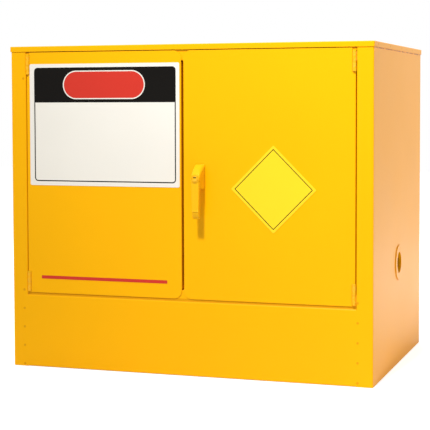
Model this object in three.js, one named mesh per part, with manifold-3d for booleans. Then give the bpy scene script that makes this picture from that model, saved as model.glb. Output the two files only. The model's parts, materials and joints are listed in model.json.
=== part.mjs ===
// Dangerous goods storage cabinet: a double-skinned steel cupboard with two doors.
// Millimetres, +Z up. The origin is on the floor, under the middle of the cabinet.
// The doors face -Y, and +X is on the right of someone who faces them.

import * as THREE from "three";
import { mergeVertices } from "three/addons/utils/BufferGeometryUtils.js";
import Module from "manifold-3d";

const wasm = await Module();
wasm.setup();

// Driving sizes of the cabinet
const bodyWidth = 916;
const bodyDepth = 636;
const cabinetHeight = 800;
const airGap = 40;

// Sheet metal
const outerSheet = 1.5;
const linerSheet = 1.2;
const bendRadius = 2;
const bendSteps = 3;

// Clearances
const seatGap = 0.3;
const runningGap = 0.5;
const overrun = 5;
const weldTolerance = 0.0001;

// Front frame
const stileWidth = 40;
const jambDepth = 44.5;
const stopLip = 12;
const sillHeight = 181;
const rearFlange = 20;
const headReturn = 20;
const footReturnGap = 0.5;

// Top cover
const coverFlange = 13;

// Doors
const doorGap = 2;
const centreGap = 5.5;
const centreOffset = 6.2;
const doorLap = 25;
const lapClearance = 0.7;
const stopClearance = 2;
const doorCornerRadius = 20;
const doorSkinSheet = 1.5;
const doorLinerSheet = 1.2;

// Hinges
const hingeInset = 3;
const knuckleRadius = 4.5;
const knuckleLength = 23;
const knuckleGap = 0.5;
const pinRadius = 2.4;
const pinClearance = 0.35;
const pinHeadHeight = 2;
const leafThickness = 2;
const leafReach = 26;
const leafInset = 1;
const leafWall = 0.8;
const hingeSetIn = 31;

// Handle, lock and latch rods
const handleX = 40.8;
const handleDrop = 4;
const handleReach = 45;
const hubRise = 33;
const leverDrop = 96;
const hubWidth = 21;
const leverWidth = 17.5;
const gripRounding = 2.2;
const lockRadius = 8;
const lockDepth = 22;
const lockProud = 2.5;
const lockHousingWall = 2.2;
const lockHousingDepth = 15;
const keywayWidth = 7.5;
const keywayHeight = 2.2;
const keywayDepth = 6;
const keywayRise = 3;
const spindleRadius = 5;
const spindleSocket = 18;
const bushFlange = 1.5;
const bushFlangeRadius = 9.5;
const bushRadius = 7.5;
const bushLength = 6;
const camSetback = 18;
const camThickness = 3;
const camRadius = 18;
const camPinCircle = 13;
const camPinRadius = 3;
const camPinLength = 7;
const camSlotClearance = 0.7;
const rodThickness = 3;
const rodWidth = 18;
const rodFootMargin = 4;
const rodTipRadius = 5;
const rodTipLap = 6;
const rodTipInset = 1;
const guideWidth = 26;
const guideHeight = 14;
const guideWall = 5;
const guideInset = 12;

// Left door catches
const catchX = 70;
const catchWidth = 46;
const catchHeight = 12;
const catchDepth = 13.5;
const catchLap = 6;
const strikeThickness = 1.2;
const strikeMargin = 3;

// Inner shell
const bearerWidth = 40;
const bearerSetback = 128;
const bearerInset = 20;

// Shelf, its uprights and its clips
const uprightDepth = 8;
const uprightWidth = 24;
const uprightMargin = 14;
const uprightSetback = 143;
const slotWidth = 14;
const slotHeight = 4.2;
const slotPitch = 50;
const clipSteps = 6;
const clipLedge = 16;
const clipWidth = 18;
const clipThickness = 2;
const clipDrop = 12;
const clipTongue = 3;
const clipTongueClearance = 0.5;
const shelfSheet = 1.5;
const shelfSideGap = 7;
const shelfSetback = 34;
const shelfRearGap = 12;
const shelfLip = 25;
const shelfColumns = 6;
const shelfRows = 4;
const holeLength = 72;
const holeWidth = 14;

// Vents
const ventY = 1;
const rightVentRise = 75;
const leftVentDrop = 110;
const ventBoreRadius = 26;
const ventTubeWall = 2.5;
const ventFlangeRadius = 44.5;
const ventFlange = 2;
const ventChamfer = 1;
const ventTail = 7;
const ventNutRadius = 38;
const ventNutThickness = 6;
const arrestorThickness = 3;
const arrestorInset = 3;
const bungRecess = 8;
const bungThickness = 14;
const bungGripRadius = 12;
const bungGripHeight = 6;

// Facets of round shapes
const fineSides = 32;
const coarseSides = 20;
const cornerSteps = 5;
const hexSides = 6;

// Places worked out from the sizes above
const halfWidth = bodyWidth / 2;
const frontY = -bodyDepth / 2;
const backY = bodyDepth / 2;
const shellTop = cabinetHeight - outerSheet - seatGap;
const openingHalf = halfWidth - stileWidth;
const railHalf = openingHalf - seatGap;
const stopY = frontY + jambDepth;
const railStopY = stopY - bendRadius - seatGap - outerSheet;
const railStopBackY = railStopY + outerSheet;
const doorBackY = railStopY - stopClearance;
const doorOuterX = openingHalf - doorGap;
const doorBottom = sillHeight + doorGap;
const doorTop = cabinetHeight - coverFlange - doorGap;
const sillTop = doorBottom + doorLap;
const headBottom = doorTop - doorLap;
const lapDepth = doorSkinSheet + lapClearance;
const lapY = frontY + lapDepth;
const panBottom = sillTop + doorGap;
const panTop = headBottom - doorGap;
const innerHalf = halfWidth - outerSheet - seatGap;
const panelBackY = backY - outerSheet - seatGap;
const linerHalf = halfWidth - outerSheet - airGap;
const linerFaceX = linerHalf - linerSheet;
const linerFrontY = stopY + outerSheet + seatGap;
const linerBackY = panelBackY - outerSheet - airGap;
const linerBottom = sillHeight + seatGap;
const linerTop = cabinetHeight - outerSheet - airGap;
const ceiling = linerTop - linerSheet;
const sumpBottom = outerSheet + airGap;
const hingeX = doorOuterX - hingeInset;
const hingeReach = knuckleLength + knuckleGap / 2;
const upperHingeZ = doorTop - hingeSetIn;
const lowerHingeZ = doorBottom + hingeSetIn;
const leafFrontY = outerSheet + seatGap;
const bearerY = backY - bearerSetback;
const uprightY = backY - uprightSetback;
const rightVentZ = sillHeight + rightVentRise;
const leftVentZ = cabinetHeight - leftVentDrop;
const ventHoleRadius = ventBoreRadius + ventTubeWall + runningGap;
const handleZ = (doorBottom + doorTop) / 2 - handleDrop;
const rodBackGap = camThickness + seatGap * 2;
const rodY = frontY + camSetback + rodBackGap + rodThickness / 2;
const pinThrow = camPinCircle * Math.SQRT1_2;
const rodOffset = (camPinCircle + pinThrow) / 2;
const rodTravel = 2 * pinThrow;
const rodTipLength = guideInset - rodTipInset + guideHeight + rodTravel + runningGap + rodTipLap;

// Finishes
const powderCoat = { color: 0xfbb515, roughness: 0.35, metalness: 0.0 };
const linerCoat = { color: 0xf4ae1c, roughness: 0.45, metalness: 0.0 };
const zincPlate = { color: 0xb9bcbf, roughness: 0.4, metalness: 0.9 };
const hingeSteel = { color: 0xd9a21b, roughness: 0.4, metalness: 0.3 };
const brightSteel = { color: 0xc9cbcd, roughness: 0.25, metalness: 1.0 };
const blackPlastic = { color: 0x2a211a, roughness: 0.55, metalness: 0.0 };
const brassGauze = { color: 0xb08d4a, roughness: 0.5, metalness: 0.9 };
const handleCoat = { color: 0xfdb913, roughness: 0.4, metalness: 0.0 };

// Shape helpers

function piece(name, geometry, finish) {
  const mesh = new THREE.Mesh(geometry, new THREE.MeshStandardMaterial(finish));
  mesh.name = name;
  return mesh;
}

function boxBetween(low, high) {
  const size = high.map((value, axis) => value - low[axis]);
  const middle = high.map((value, axis) => (value + low[axis]) / 2);
  const geometry = new THREE.BoxGeometry(...size);
  geometry.translate(...middle);
  return geometry;
}

function roundBar(radius, start, end, axis, sides = coarseSides) {
  const geometry = new THREE.CylinderGeometry(radius, radius, end - start, sides);
  geometry.translate(0, (start + end) / 2, 0);
  if (axis === "x") geometry.rotateZ(-Math.PI / 2);
  if (axis === "z") geometry.rotateX(Math.PI / 2);
  return geometry;
}

function spun(profile, axis, sides = fineSides) {
  const geometry = new THREE.LatheGeometry(profile.map(([r, h]) => new THREE.Vector2(r, h)), sides);
  if (axis === "x") geometry.rotateZ(-Math.PI / 2);
  if (axis === "z") geometry.rotateX(Math.PI / 2);
  return geometry;
}

function leftOf(direction) {
  return new THREE.Vector2(-direction.y, direction.x);
}

// A strip of folded sheet: its corners are given along one face, and the sheet's
// thickness lies to the left of that path.
function foldedOutline(corners, sheet) {
  const points = corners.map(([x, y]) => new THREE.Vector2(x, y));
  const near = [];
  const far = [];
  const lay = (point, normal) => {
    near.push(point.clone());
    far.push(point.clone().addScaledVector(normal, sheet));
  };
  points.forEach((corner, index) => {
    const before = points[index - 1];
    const after = points[index + 1];
    if (!before || !after) {
      const along = before ? corner.clone().sub(before) : after.clone().sub(corner);
      lay(corner, leftOf(along.normalize()));
      return;
    }
    const arriving = corner.clone().sub(before).normalize();
    const leaving = after.clone().sub(corner).normalize();
    const bend = Math.atan2(arriving.cross(leaving), arriving.dot(leaving));
    const turn = Math.sign(bend);
    const radius = turn > 0 ? bendRadius + sheet : bendRadius;
    const centre = corner.clone().addScaledVector(arriving, -radius * Math.tan(Math.abs(bend) / 2));
    centre.addScaledVector(leftOf(arriving), turn * radius);
    for (let step = 0; step <= bendSteps; step += 1) {
      const normal = leftOf(arriving).rotateAround(new THREE.Vector2(), (bend * step) / bendSteps);
      lay(centre.clone().addScaledVector(normal, -turn * radius), normal);
    }
  });
  return new THREE.Shape([...near, ...far.reverse()]);
}

function extruded(shape, depth, rounding = 0) {
  const bevel = rounding > 0;
  return new THREE.ExtrudeGeometry(shape, {
    depth: depth - 2 * rounding,
    bevelEnabled: bevel,
    bevelThickness: rounding,
    bevelSize: rounding,
    bevelOffset: -rounding,
    bevelSegments: 2,
    curveSegments: cornerSteps,
  }).translate(0, 0, rounding);
}

// An outline drawn in Y and Z, run along X from one place to another.
function alongX(shape, start, end, rounding = 0) {
  const axes = [new THREE.Vector3(0, 1, 0), new THREE.Vector3(0, 0, 1), new THREE.Vector3(1, 0, 0)];
  const geometry = extruded(shape, end - start, rounding);
  geometry.applyMatrix4(new THREE.Matrix4().makeBasis(...axes));
  return geometry.translate(start, 0, 0);
}

// An outline drawn in X and Z, run along Y from one place to another.
function alongY(shape, start, end) {
  const geometry = extruded(shape, end - start);
  geometry.rotateX(Math.PI / 2);
  return geometry.translate(0, end, 0);
}

// An outline drawn in X and Y, run up from one height to another.
function alongZ(shape, start, end) {
  return extruded(shape, end - start).translate(0, 0, start);
}

function toSolid(geometry) {
  const bare = geometry.clone();
  bare.deleteAttribute("normal");
  bare.deleteAttribute("uv");
  const merged = mergeVertices(bare, weldTolerance);
  return new wasm.Manifold(new wasm.Mesh({
    numProp: 3,
    vertProperties: Float32Array.from(merged.attributes.position.array),
    triVerts: Uint32Array.from(merged.index.array),
  }));
}

function toGeometry(solid) {
  const mesh = solid.getMesh();
  const geometry = new THREE.BufferGeometry();
  geometry.setAttribute("position", new THREE.BufferAttribute(mesh.vertProperties, 3));
  geometry.setIndex(new THREE.BufferAttribute(mesh.triVerts, 1));
  geometry.computeVertexNormals();
  return geometry;
}

function joined(...geometries) {
  return toGeometry(geometries.map(toSolid).reduce((sum, next) => sum.add(next)));
}

function carved(geometry, ...tools) {
  return toGeometry(tools.map(toSolid).reduce((rest, tool) => rest.subtract(tool), toSolid(geometry)));
}

function movedTo(geometry, x, y, z) {
  return geometry.clone().translate(x, y, z);
}

// Outer shell

function sidePanel(side) {
  const profile = foldedOutline([
    [openingHalf - stopLip, stopY],
    [openingHalf, stopY],
    [openingHalf, frontY],
    [halfWidth, frontY],
    [halfWidth, backY],
    [halfWidth - rearFlange, backY],
  ], outerSheet);
  const ventZ = side > 0 ? rightVentZ : leftVentZ;
  const ventHole = roundBar(ventHoleRadius, halfWidth - airGap, halfWidth + overrun, "x", fineSides);
  const leafBottoms = [upperHingeZ + hingeReach - knuckleLength, lowerHingeZ - hingeReach];
  const slots = leafBottoms.map((bottom) => boxBetween(
    [openingHalf - overrun, frontY + leafFrontY - seatGap, bottom + leafInset - seatGap],
    [
      openingHalf + outerSheet + bendRadius + seatGap,
      frontY + leafFrontY + leafThickness + seatGap,
      bottom + knuckleLength - leafInset + seatGap,
    ],
  ));
  const panel = carved(alongZ(profile, 0, shellTop), movedTo(ventHole, 0, ventY, ventZ), ...slots);
  return side > 0 ? panel : mirrored(panel);
}

// The left-hand twin of a right-hand piece, with its faces still pointing out.
function mirrored(geometry) {
  const twin = toGeometry(toSolid(geometry)).scale(-1, 1, 1);
  const order = twin.index.array;
  for (let corner = 0; corner < order.length; corner += 3) {
    [order[corner], order[corner + 1]] = [order[corner + 1], order[corner]];
  }
  twin.computeVertexNormals();
  return twin;
}

function topCover() {
  const outerX = halfWidth + seatGap + outerSheet;
  const outerY = backY + seatGap + outerSheet;
  const bottom = cabinetHeight - coverFlange;
  return carved(
    boxBetween([-outerX, -outerY, bottom], [outerX, outerY, cabinetHeight]),
    boxBetween(
      [-halfWidth - seatGap, frontY - seatGap, bottom - overrun],
      [halfWidth + seatGap, backY + seatGap, cabinetHeight - outerSheet],
    ),
  );
}

function rodHole(x, z) {
  const hole = roundBar(rodTipRadius + runningGap, -overrun, overrun, "z");
  return movedTo(hole, x, rodY, z);
}

// The header lies one lap behind the doors, which cover all of its face.
function headerRail() {
  const profile = foldedOutline([
    [frontY + headReturn, shellTop],
    [lapY, shellTop],
    [lapY, headBottom],
    [railStopY, headBottom],
    [railStopY, headBottom - stopLip],
  ], outerSheet);
  const notchTop = upperHingeZ + hingeReach + seatGap + pinHeadHeight + runningGap;
  const notchSide = hingeX - knuckleRadius - runningGap;
  const notch = boxBetween(
    [notchSide, frontY - overrun, headBottom - overrun],
    [halfWidth, frontY + knuckleRadius + runningGap, notchTop],
  );
  const rail = alongX(profile, -railHalf, railHalf);
  return carved(rail, notch, mirrored(notch), rodHole(handleX + rodOffset, headBottom));
}

// The sill steps back under the doors' lower edge and rises behind them by one lap.
function sillPanel() {
  const profile = foldedOutline([
    [railStopY, sillTop + stopLip],
    [railStopY, sillTop],
    [lapY, sillTop],
    [lapY, sillHeight],
    [frontY, sillHeight - lapDepth],
    [frontY, 0],
    [stopY - bendRadius - footReturnGap, 0],
  ], outerSheet);
  const notch = boxBetween(
    [hingeX - knuckleRadius - runningGap, frontY - overrun, lowerHingeZ - hingeReach - runningGap],
    [halfWidth, frontY + knuckleRadius + runningGap, sillTop + overrun],
  );
  const panel = alongX(profile, -railHalf, railHalf);
  return carved(panel, notch, mirrored(notch), rodHole(handleX - rodOffset, sillTop));
}

function bearer() {
  const top = sumpBottom - seatGap;
  const bottom = outerSheet + seatGap;
  const profile = foldedOutline([
    [bearerWidth / 2, bottom],
    [bearerWidth / 2, top],
    [-bearerWidth / 2, top],
    [-bearerWidth / 2, bottom],
  ], outerSheet);
  return alongX(profile, bearerInset - linerHalf, linerHalf - bearerInset);
}

function outerShell() {
  const shell = new THREE.Group();
  shell.add(
    piece("right_side_panel", sidePanel(1), powderCoat),
    piece("left_side_panel", sidePanel(-1), powderCoat),
    piece("top_cover", topCover(), powderCoat),
    piece("header_rail", headerRail(), powderCoat),
    piece("sill_panel", sillPanel(), powderCoat),
    piece("back_panel", boxBetween(
      [bendRadius - innerHalf, panelBackY - outerSheet, 0],
      [innerHalf - bendRadius, panelBackY, shellTop],
    ), powderCoat),
    piece("base_plate", boxBetween(
      [-innerHalf, linerFrontY, 0],
      [innerHalf, panelBackY - outerSheet - seatGap, outerSheet],
    ), powderCoat),
  );
  const frontBearer = piece("front_bearer", bearer(), zincPlate);
  frontBearer.position.y = -bearerY;
  const rearBearer = piece("rear_bearer", bearer(), zincPlate);
  rearBearer.position.y = bearerY;
  shell.add(frontBearer, rearBearer);
  return shell;
}

// Inner shell

function sumpTray() {
  return carved(
    boxBetween([-linerHalf, linerFrontY, sumpBottom], [linerHalf, linerBackY, sillHeight]),
    boxBetween(
      [-linerFaceX, linerFrontY + linerSheet, sumpBottom + linerSheet],
      [linerFaceX, linerBackY - linerSheet, sillHeight + overrun],
    ),
  );
}

function sideLiner(side) {
  const ventZ = side > 0 ? rightVentZ : leftVentZ;
  const hole = roundBar(ventHoleRadius, linerFaceX - overrun, linerHalf + overrun, "x", fineSides);
  const panel = carved(
    boxBetween(
      [linerFaceX, linerFrontY, linerBottom],
      [linerHalf, linerBackY - linerSheet - seatGap, ceiling - seatGap],
    ),
    movedTo(hole, 0, ventY, ventZ),
  );
  return side > 0 ? panel : mirrored(panel);
}

function innerShell() {
  const shell = new THREE.Group();
  shell.add(
    piece("sump_tray", sumpTray(), linerCoat),
    piece("right_liner", sideLiner(1), linerCoat),
    piece("left_liner", sideLiner(-1), linerCoat),
    piece("back_liner", boxBetween(
      [-linerHalf, linerBackY - linerSheet, linerBottom],
      [linerHalf, linerBackY, ceiling - seatGap],
    ), linerCoat),
    piece("top_liner", boxBetween(
      [-linerHalf, linerFrontY, ceiling],
      [linerHalf, linerBackY, linerTop],
    ), linerCoat),
  );
  return shell;
}

// Shelf

const uprightBottom = linerBottom + uprightMargin;
const uprightHeight = ceiling - uprightMargin - uprightBottom;
const clipZ = uprightBottom + slotPitch * clipSteps;
const shelfTop = clipZ + clipThickness + seatGap + shelfSheet;

// A slotted channel that stands against the liner, with its back at x = 0 and its face towards -X.
function upright() {
  const profile = foldedOutline([
    [0, uprightWidth / 2],
    [-uprightDepth, uprightWidth / 2],
    [-uprightDepth, -uprightWidth / 2],
    [0, -uprightWidth / 2],
  ], linerSheet);
  const slots = [];
  for (let z = slotPitch; z < uprightHeight - slotPitch / 2; z += slotPitch) {
    slots.push(boxBetween(
      [-uprightDepth - overrun, -slotWidth / 2, z - slotHeight / 2],
      [-uprightDepth + linerSheet + bendRadius, slotWidth / 2, z + slotHeight / 2],
    ));
  }
  return carved(alongZ(profile, 0, uprightHeight), ...slots);
}

// A folded clip: its tongue goes through a slot of the upright and its ledge carries the shelf.
function shelfClip() {
  const face = -uprightDepth - seatGap;
  const profile = new THREE.Shape([
    new THREE.Vector2(face, clipThickness),
    new THREE.Vector2(face - clipLedge, clipThickness),
    new THREE.Vector2(face - clipLedge, 0),
    new THREE.Vector2(face - clipThickness, 0),
    new THREE.Vector2(face - clipThickness, -clipDrop),
    new THREE.Vector2(face, -clipDrop),
  ]);
  const tongue = boxBetween(
    [face - clipThickness, clipTongueClearance - slotWidth / 2, 0],
    [face + clipTongue + seatGap, slotWidth / 2 - clipTongueClearance, clipThickness],
  );
  return joined(alongY(profile, -clipWidth / 2, clipWidth / 2), tongue);
}

function shelfHole() {
  const straight = (holeLength - holeWidth) / 2;
  const hole = new THREE.Shape();
  hole.absarc(straight, 0, holeWidth / 2, -Math.PI / 2, Math.PI / 2, false);
  hole.absarc(-straight, 0, holeWidth / 2, Math.PI / 2, (3 * Math.PI) / 2, false);
  return alongZ(hole, -overrun, overrun);
}

function shelf() {
  const front = linerFrontY + shelfSetback;
  const rear = linerBackY - linerSheet - shelfRearGap;
  const half = linerFaceX - seatGap - uprightDepth - shelfSideGap;
  const profile = foldedOutline([
    [rear, shelfTop - shelfLip],
    [rear, shelfTop],
    [front, shelfTop],
    [front, shelfTop - shelfLip],
  ], shelfSheet);
  const hole = shelfHole();
  const holes = [];
  for (let column = 0; column < shelfColumns; column += 1) {
    for (let row = 0; row < shelfRows; row += 1) {
      const x = (2 * half * (column + 0.5)) / shelfColumns - half;
      const y = front + ((rear - front) * (row + 0.5)) / shelfRows;
      holes.push(movedTo(hole, x, y, shelfTop));
    }
  }
  return carved(alongX(profile, -half, half), ...holes);
}

function shelving() {
  const rack = new THREE.Group();
  const uprightShape = upright();
  const clipShape = shelfClip();
  [["right", 1], ["left", -1]].forEach(([sideName, side]) => {
    [["front", -1], ["rear", 1]].forEach(([endName, end]) => {
      const post = new THREE.Group();
      post.position.set(side * (linerFaceX - seatGap), end * uprightY, 0);
      post.rotation.z = side > 0 ? 0 : Math.PI;
      const channel = piece(`${sideName}_${endName}_upright`, uprightShape, zincPlate);
      channel.position.z = uprightBottom;
      const clip = piece(`${sideName}_${endName}_shelf_clip`, clipShape, zincPlate);
      clip.position.z = clipZ;
      post.add(channel, clip);
      rack.add(post);
    });
  });
  rack.add(piece("shelf", shelf(), zincPlate));
  return rack;
}

// Vents: x = 0 is the face of the side panel, and +X points out of the cabinet.

function ventCollar() {
  const tube = ventBoreRadius + ventTubeWall;
  const inner = linerFaceX - halfWidth - ventTail;
  const face = seatGap + ventFlange;
  return spun([
    [ventBoreRadius, inner],
    [tube, inner],
    [tube, seatGap],
    [ventFlangeRadius, seatGap],
    [ventFlangeRadius, face - ventChamfer],
    [ventFlangeRadius - ventChamfer, face],
    [ventBoreRadius, face],
    [ventBoreRadius, inner],
  ], "x");
}

function ventNut() {
  const corners = [];
  for (let corner = 0; corner < hexSides; corner += 1) {
    const angle = (2 * Math.PI * corner) / hexSides;
    corners.push(new THREE.Vector2(ventNutRadius * Math.cos(angle), ventNutRadius * Math.sin(angle)));
  }
  const outline = new THREE.Shape(corners);
  const hole = new THREE.Path();
  hole.absarc(0, 0, ventHoleRadius, 0, 2 * Math.PI, true);
  outline.holes.push(hole);
  const face = linerFaceX - halfWidth - seatGap;
  const nut = new THREE.ExtrudeGeometry(outline, {
    depth: ventNutThickness,
    bevelEnabled: false,
    curveSegments: fineSides / 2,
  });
  return nut.rotateY(-Math.PI / 2).translate(face, 0, 0);
}

function flameArrestor() {
  const start = linerFaceX - halfWidth - ventTail + arrestorInset;
  return roundBar(ventBoreRadius - seatGap, start, start + arrestorThickness, "x", fineSides);
}

function ventBung() {
  const face = seatGap + ventFlange - bungRecess;
  const plugRadius = ventBoreRadius - seatGap;
  return joined(
    roundBar(plugRadius, face - bungThickness, face, "x", fineSides),
    roundBar(bungGripRadius, face - bungThickness / 2, face + bungGripHeight, "x", hexSides),
  );
}

function vents() {
  const both = new THREE.Group();
  [["right", 1, rightVentZ], ["left", -1, leftVentZ]].forEach(([sideName, side, height]) => {
    const vent = new THREE.Group();
    vent.position.set(side * halfWidth, ventY, height);
    vent.rotation.z = side > 0 ? 0 : Math.PI;
    vent.add(
      piece(`${sideName}_vent_collar`, ventCollar(), powderCoat),
      piece(`${sideName}_vent_nut`, ventNut(), zincPlate),
      piece(`${sideName}_flame_arrestor`, flameArrestor(), brassGauze),
      piece(`${sideName}_vent_bung`, ventBung(), linerCoat),
    );
    both.add(vent);
  });
  return both;
}

// Hinges: each knuckle stands on z = 0 round the hinge line, with a leaf behind the front sheet.

function knuckle(direction) {
  const start = pinRadius + pinClearance + leafWall;
  const leaf = boxBetween(
    [direction > 0 ? start : -leafReach, leafFrontY, leafInset],
    [direction > 0 ? leafReach : -start, leafFrontY + leafThickness, knuckleLength - leafInset],
  );
  const bore = roundBar(pinRadius + pinClearance, -overrun, knuckleLength + overrun, "z");
  return carved(joined(roundBar(knuckleRadius, 0, knuckleLength, "z"), leaf), bore);
}

function hingePin() {
  const underHead = hingeReach + seatGap;
  return spun([
    [0, -hingeReach],
    [pinRadius, -hingeReach],
    [pinRadius, underHead],
    [knuckleRadius, underHead],
    [knuckleRadius, underHead + pinHeadHeight],
    [0, underHead + pinHeadHeight],
  ], "z", coarseSides);
}

const sides = [["right", 1], ["left", -1]];
const hingeLevels = [["upper", upperHingeZ, 1], ["lower", lowerHingeZ, -1]];

function hingePlace(side, splitZ, above) {
  const bottom = above > 0 ? splitZ + knuckleGap / 2 : splitZ - hingeReach;
  return new THREE.Vector3(side * hingeX, frontY, bottom);
}

function frameHinges() {
  const fixed = new THREE.Group();
  const pin = hingePin();
  sides.forEach(([sideName, side]) => {
    hingeLevels.forEach(([levelName, splitZ, outward]) => {
      const frameKnuckle = piece(`${sideName}_${levelName}_frame_knuckle`, knuckle(side), hingeSteel);
      frameKnuckle.position.copy(hingePlace(side, splitZ, outward));
      const hingePinPiece = piece(`${sideName}_${levelName}_hinge_pin`, pin, hingeSteel);
      hingePinPiece.position.set(side * hingeX, frontY, splitZ);
      fixed.add(frameKnuckle, hingePinPiece);
    });
  });
  return fixed;
}

function doorHinges(sideName, side) {
  return hingeLevels.map(([levelName, splitZ, outward]) => {
    const doorKnuckle = piece(`${sideName}_${levelName}_door_knuckle`, knuckle(-side), hingeSteel);
    doorKnuckle.position.copy(hingePlace(side, splitZ, -outward));
    return doorKnuckle;
  });
}

// Doors, drawn for the right-hand side. The outer skin laps over header and sill, and its
// upright edges are folded back. The inner skin is a pan that stands in the opening.

function doorInnerX(side) {
  return centreGap / 2 - side * centreOffset;
}

function doorOutline(left) {
  const turnX = left + doorCornerRadius;
  const outline = new THREE.Shape();
  outline.moveTo(doorOuterX, doorBottom);
  outline.lineTo(doorOuterX, doorTop);
  outline.lineTo(turnX, doorTop);
  outline.absarc(turnX, doorTop - doorCornerRadius, doorCornerRadius, Math.PI / 2, Math.PI, false);
  outline.lineTo(left, doorBottom + doorCornerRadius);
  outline.absarc(turnX, doorBottom + doorCornerRadius, doorCornerRadius, Math.PI, Math.PI * 1.5, false);
  return outline;
}

function hingeNotches() {
  const inner = hingeX - knuckleRadius - runningGap;
  const depth = frontY + knuckleRadius + runningGap;
  const upperFoot = upperHingeZ - hingeReach - runningGap;
  const lowerHead = lowerHingeZ + hingeReach + seatGap + pinHeadHeight + runningGap;
  return [
    boxBetween([inner, frontY - overrun, upperFoot], [openingHalf, depth, doorTop + overrun]),
    boxBetween([inner, frontY - overrun, doorBottom - overrun], [openingHalf, depth, lowerHead]),
  ];
}

function doorSkin(side, extraCuts) {
  const left = doorInnerX(side);
  const face = alongY(doorOutline(left), frontY, frontY + doorSkinSheet);
  const edges = [left, doorOuterX - doorSkinSheet].map((start) => boxBetween(
    [start, frontY + doorSkinSheet / 2, panBottom],
    [start + doorSkinSheet, doorBackY, panTop],
  ));
  return carved(joined(face, ...edges), ...hingeNotches(), ...extraCuts);
}

function doorLiner(side, extraCuts) {
  const start = frontY + doorSkinSheet + seatGap;
  const inset = doorSkinSheet + seatGap;
  const profile = foldedOutline([
    [start, panBottom],
    [doorBackY, panBottom],
    [doorBackY, panTop],
    [start, panTop],
  ], doorLinerSheet);
  const pan = alongX(profile, doorInnerX(side) + inset, doorOuterX - inset);
  return carved(pan, ...hingeNotches(), ...extraCuts);
}

// Handle: y = frontY is the door's face, and the handle reaches out towards -Y.
// Each outline point is a share of the handle's reach and of its rise or drop.

const hubOutlineShares = [
  [0.06, -0.75], [0.06, 1], [0.32, 0.96], [0.62, 0.66],
  [0.9, 0.3], [0.92, -0.4], [0.7, -0.75],
];
const leverOutlineShares = [
  [0.62, 0.06], [0.94, 0.06], [1, 0.02], [1, -0.76], [0.97, -0.86], [0.9, -0.94], [0.78, -1],
  [0.66, -0.97], [0.72, -0.9], [0.76, -0.82], [0.77, -0.72], [0.74, -0.3], [0.68, -0.2], [0.62, -0.12],
];

function handleOutline(shares, height) {
  return new THREE.Shape(shares.map(([out, up]) => new THREE.Vector2(-out * handleReach, up * height)));
}

function handleLever() {
  const hubShape = handleOutline(hubOutlineShares, hubRise);
  const leverShape = handleOutline(leverOutlineShares, leverDrop);
  const hub = alongX(hubShape, -hubWidth / 2, hubWidth / 2, gripRounding);
  const lever = alongX(leverShape, -leverWidth / 2, leverWidth / 2, gripRounding);
  const face = -handleReach - lockProud / 2;
  const housingRadius = lockRadius + seatGap + lockHousingWall;
  const housing = roundBar(housingRadius, face, face + lockHousingDepth, "y", fineSides);
  const lockBore = roundBar(lockRadius + seatGap, face - overrun, face + lockDepth, "y", fineSides);
  const socket = roundBar(spindleRadius + seatGap, -spindleSocket, overrun, "y");
  return carved(joined(hub, lever, housing), lockBore, socket);
}

function lockCylinder() {
  const face = -handleReach - lockProud;
  const barrel = roundBar(lockRadius, face, face + lockDepth - seatGap, "y", fineSides);
  const keyway = boxBetween(
    [-keywayWidth / 2, face - overrun, keywayRise - keywayHeight / 2],
    [keywayWidth / 2, face + keywayDepth, keywayRise + keywayHeight / 2],
  );
  return carved(barrel, keyway);
}

function handleBush() {
  const bore = spindleRadius + seatGap;
  return spun([
    [bore, -seatGap - bushFlange],
    [bushFlangeRadius, -seatGap - bushFlange],
    [bushFlangeRadius, -seatGap],
    [bushRadius, -seatGap],
    [bushRadius, bushLength],
    [bore, bushLength],
    [bore, -seatGap - bushFlange],
  ], "y");
}

// The spindle turns a plate whose two pins drive the latch rods.
function latchSpindle() {
  const pins = [1, -1].map((side) => movedTo(
    roundBar(camPinRadius, camSetback, camSetback + camThickness + camPinLength, "y"),
    side * pinThrow,
    0,
    -side * pinThrow,
  ));
  return joined(
    roundBar(spindleRadius, seatGap - spindleSocket, camSetback + camThickness / 2, "y"),
    roundBar(camRadius, camSetback, camSetback + camThickness, "y", fineSides),
    ...pins,
  );
}

function handleSet() {
  const set = new THREE.Group();
  set.position.set(handleX, frontY, handleZ);
  set.add(
    piece("handle_lever", handleLever(), handleCoat),
    piece("lock_cylinder", lockCylinder(), handleCoat),
    piece("handle_bush", handleBush(), brightSteel),
    piece("latch_spindle", latchSpindle(), zincPlate),
  );
  return set;
}

// A latch rod: upward is 1 for the upper rod and -1 for the lower one.
function latchRod(upward) {
  const x = handleX + upward * rodOffset;
  const tipEnd = upward > 0 ? panTop - rodTipInset : panBottom + rodTipInset;
  const barEnd = tipEnd - upward * (rodTipLength - rodTipLap);
  const slotZ = handleZ - upward * pinThrow;
  const slotHalfHeight = camPinRadius + camSlotClearance;
  const slotHalfWidth = slotHalfHeight + (camPinCircle - pinThrow) / 2;
  const foot = slotZ - upward * (slotHalfHeight + rodFootMargin);
  const tipStart = tipEnd - upward * rodTipLength;
  const bar = boxBetween(
    [x - rodWidth / 2, rodY - rodThickness / 2, Math.min(foot, barEnd)],
    [x + rodWidth / 2, rodY + rodThickness / 2, Math.max(foot, barEnd)],
  );
  const tip = roundBar(rodTipRadius, Math.min(tipStart, tipEnd), Math.max(tipStart, tipEnd), "z");
  const slot = boxBetween(
    [x - slotHalfWidth, rodY - overrun, slotZ - slotHalfHeight],
    [x + slotHalfWidth, rodY + overrun, slotZ + slotHalfHeight],
  );
  return carved(joined(bar, movedTo(tip, x, rodY, 0)), slot);
}

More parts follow.
